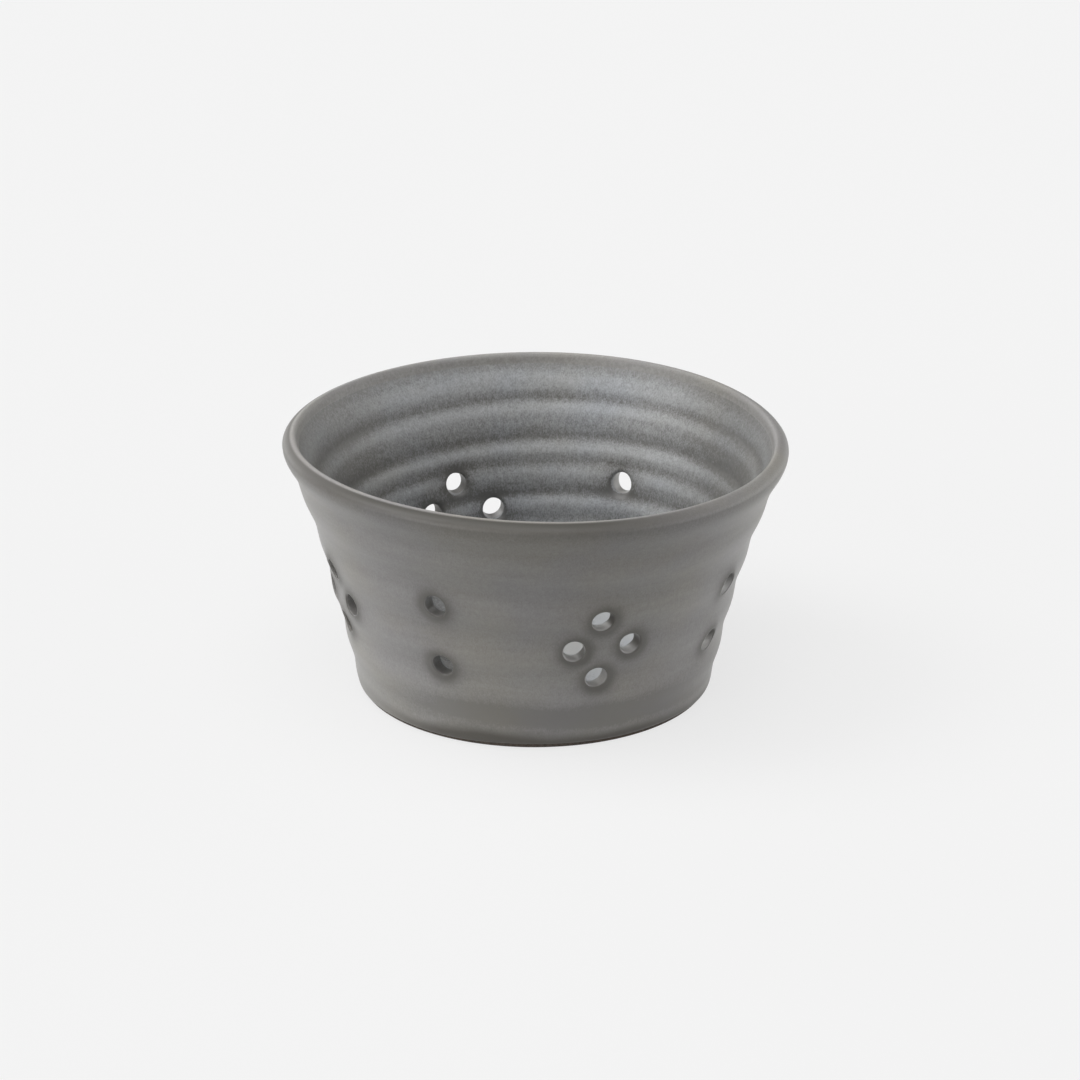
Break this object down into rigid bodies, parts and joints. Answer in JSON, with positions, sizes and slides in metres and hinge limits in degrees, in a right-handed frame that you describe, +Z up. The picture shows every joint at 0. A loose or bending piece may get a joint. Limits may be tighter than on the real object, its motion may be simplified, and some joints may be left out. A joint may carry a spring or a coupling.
{
  "type": "berry colander bowl",
  "caption": "Round hand-thrown stoneware bowl with a flared ridged wall, pierced drain holes in wall and floor, and a bare foot ring.",
  "frame": {"origin": "centre of the foot ring's standing face, on the surface that the bowl stands on", "axes": "+Z up along the bowl's axis, -Y towards the front of the pictured view, +X to that view's right"},
  "size_m": [0.14, 0.14, 0.0734],
  "materials": {
    "bare_clay": "matt fired stoneware, unglazed",
    "liner_glaze": "satin blue-grey glaze that pools pale on the throwing ridges",
    "outer_glaze": "satin-matt warm grey glaze with faint throwing bands"
  },
  "bodies": {
    "root": {"stoneware_body": "bare_clay", "liner_glaze": "liner_glaze", "outer_glaze": "outer_glaze"}
  },
  "joints": []
}
